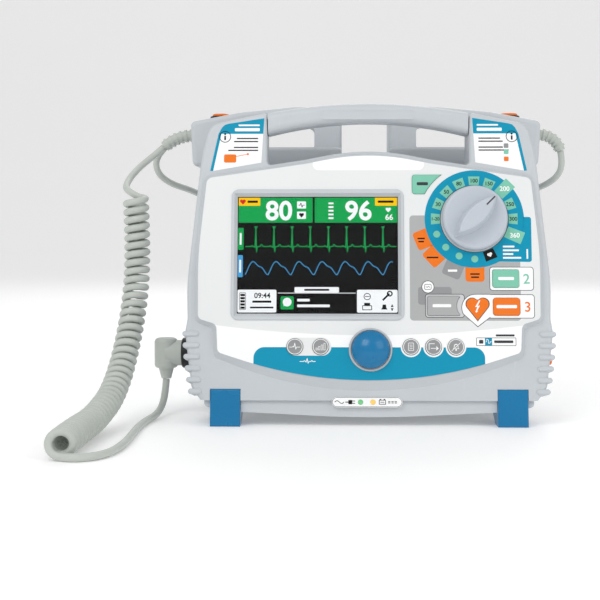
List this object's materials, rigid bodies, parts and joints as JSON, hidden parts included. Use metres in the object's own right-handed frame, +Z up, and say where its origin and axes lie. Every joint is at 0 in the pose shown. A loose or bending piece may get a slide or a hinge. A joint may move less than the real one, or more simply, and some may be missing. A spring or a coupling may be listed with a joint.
{
  "type": "defibrillator",
  "caption": "Portable monitor-defibrillator with display, energy selector, carry handle, two docked hand paddles and a coiled paddle cord.",
  "frame": {"origin": "on the floor under the middle of the object, cord left out", "axes": "+X to the right of the person facing the display, +Y to the back, +Z up"},
  "size_m": [0.4124, 0.3952, 0.2703],
  "materials": {
    "housing": "fine moulded texture, satin",
    "overlay": "printed satin film",
    "blue_plastic": "moulded, semi-gloss",
    "display_glass": "clear window",
    "lights": "clear coloured lens",
    "grey_key": "printed satin",
    "mint_key": "printed satin",
    "orange_key": "satin",
    "cord": "smooth matt jacket",
    "black_plastic": "moulded",
    "black_rubber": "matt",
    "board": "solder mask",
    "steel": "brushed",
    "paper": "thermal paper"
  },
  "bodies": {
    "root": {"bottom_tray": "housing", "carry_handle": "housing", "chassis_plate": "steel", "display_bezel": "housing", "display_window": "display_glass", "ecg_socket": "black_plastic", "elbow_plug": "cord", "encoder_switch": "black_plastic", "equipotential_stud": "steel", "front_foot_left": "blue_plastic", "front_foot_right": "blue_plastic", "front_overlay": "overlay", "front_shell": "housing", "hv_capacitor": "steel", "keypad_board": "board", "lcd_module": "black_plastic", "led_plate": "overlay", "link_cord_left": "cord", "link_cord_right": "cord", "main_board": "board", "main_cord_coil": "cord", "main_cord_lead": "cord", "main_cord_tail": "cord", "mains_inlet": "black_plastic", "paddle_contacts": "steel", "paddle_socket": "black_plastic", "paper_roll": "paper", "power_supply": "steel", "rear_feet": "black_rubber", "rear_shell": "housing", "recorder_module": "housing", "selector_switch": "black_plastic", "sensor_socket": "orange_key", "speaker": "black_plastic", "status_leds": "lights"},
    "key_ecg_lead": {"key_ecg_lead": "grey_key"},
    "key_ecg_gain": {"key_ecg_gain": "grey_key"},
    "key_print": {"key_print": "grey_key"},
    "key_marker": {"key_marker": "grey_key"},
    "key_alarm": {"key_alarm": "grey_key"},
    "key_charge": {"key_charge": "mint_key"},
    "key_cancel": {"key_cancel": "grey_key"},
    "key_shock": {"key_shock": "orange_key"},
    "key_sync": {"key_sync": "mint_key"},
    "selector": {"selector_knob": "housing", "selector_shaft": "steel"},
    "encoder_plunger": {"encoder_plunger": "steel"},
    "encoder_knob": {"encoder_knob": "blue_plastic"},
    "paddle_left": {"paddle_left_body": "housing", "paddle_left_adapter": "housing", "paddle_left_electrode": "steel", "paddle_left_relief": "cord"},
    "paddle_left_button": {"paddle_left_button": "orange_key"},
    "paddle_right": {"paddle_right_body": "housing", "paddle_right_adapter": "housing", "paddle_right_electrode": "steel", "paddle_right_relief": "cord"},
    "paddle_right_button": {"paddle_right_button": "orange_key"},
    "battery": {"battery_pack": "black_plastic"},
    "recorder_door": {"recorder_door": "housing"}
  },
  "joints": [
    {"name": "key_ecg_lead_press", "type": "slide", "parent": "root", "child": "key_ecg_lead", "axis": [0, 0.9848, -0.1736], "range_m": [0, 0.0008], "stiffness_N_per_m": 900, "springref_m": -0.0012},
    {"name": "key_ecg_gain_press", "type": "slide", "parent": "root", "child": "key_ecg_gain", "axis": [0, 0.9848, -0.1736], "range_m": [0, 0.0008], "stiffness_N_per_m": 900, "springref_m": -0.0012},
    {"name": "key_print_press", "type": "slide", "parent": "root", "child": "key_print", "axis": [0, 0.9848, -0.1736], "range_m": [0, 0.0008], "stiffness_N_per_m": 900, "springref_m": -0.0012},
    {"name": "key_marker_press", "type": "slide", "parent": "root", "child": "key_marker", "axis": [0, 0.9848, -0.1736], "range_m": [0, 0.0008], "stiffness_N_per_m": 900, "springref_m": -0.0012},
    {"name": "key_alarm_press", "type": "slide", "parent": "root", "child": "key_alarm", "axis": [0, 0.9848, -0.1736], "range_m": [0, 0.0008], "stiffness_N_per_m": 900, "springref_m": -0.0012},
    {"name": "key_charge_press", "type": "slide", "parent": "root", "child": "key_charge", "axis": [0, 0.9848, -0.1736], "range_m": [0, 0.0008], "stiffness_N_per_m": 900, "springref_m": -0.0012},
    {"name": "key_cancel_press", "type": "slide", "parent": "root", "child": "key_cancel", "axis": [0, 0.9848, -0.1736], "range_m": [0, 0.0008], "stiffness_N_per_m": 900, "springref_m": -0.0012},
    {"name": "key_shock_press", "type": "slide", "parent": "root", "child": "key_shock", "axis": [0, 0.9848, -0.1736], "range_m": [0, 0.0008], "stiffness_N_per_m": 900, "springref_m": -0.0012},
    {"name": "key_sync_press", "type": "slide", "parent": "root", "child": "key_sync", "axis": [0, 0.9848, -0.1736], "range_m": [0, 0.0008], "stiffness_N_per_m": 900, "springref_m": -0.0012},
    {"name": "selector_turn", "type": "hinge", "parent": "root", "child": "selector", "pos_m": [0.0866, -0.07591, 0.1684], "axis": [0, 0.9848, -0.1736], "range_deg": [-247.5, 67.5]},
    {"name": "encoder_push", "type": "slide", "parent": "root", "child": "encoder_plunger", "axis": [0, 0.9848, -0.1736], "range_m": [0, 0.001], "stiffness_N_per_m": 700, "springref_m": -0.0015},
    {"name": "encoder_turn", "type": "hinge", "parent": "encoder_plunger", "child": "encoder_knob", "pos_m": [0.0014, -0.09463, 0.06224], "axis": [0, 0.9848, -0.1736], "continuous": true},
    {"name": "paddle_left_lift", "type": "slide", "parent": "root", "child": "paddle_left", "axis": [0, 0, 1], "range_m": [0, 0.12]},
    {"name": "paddle_left_button_press", "type": "slide", "parent": "paddle_left", "child": "paddle_left_button", "axis": [0, 0, -1], "range_m": [0, 0.002], "stiffness_N_per_m": 900, "springref_m": -0.002},
    {"name": "paddle_right_lift", "type": "slide", "parent": "root", "child": "paddle_right", "axis": [0, 0, 1], "range_m": [0, 0.12]},
    {"name": "paddle_right_button_press", "type": "slide", "parent": "paddle_right", "child": "paddle_right_button", "axis": [0, 0, -1], "range_m": [0, 0.002], "stiffness_N_per_m": 900, "springref_m": -0.002},
    {"name": "battery_slide", "type": "slide", "parent": "root", "child": "battery", "axis": [0, 1, 0], "range_m": [0, 0.09]},
    {"name": "recorder_door_hinge", "type": "hinge", "parent": "root", "child": "recorder_door", "pos_m": [0.1464, 0.0414, 0.0632], "axis": [0, 1, 0], "range_deg": [0, 80]}
  ]
}
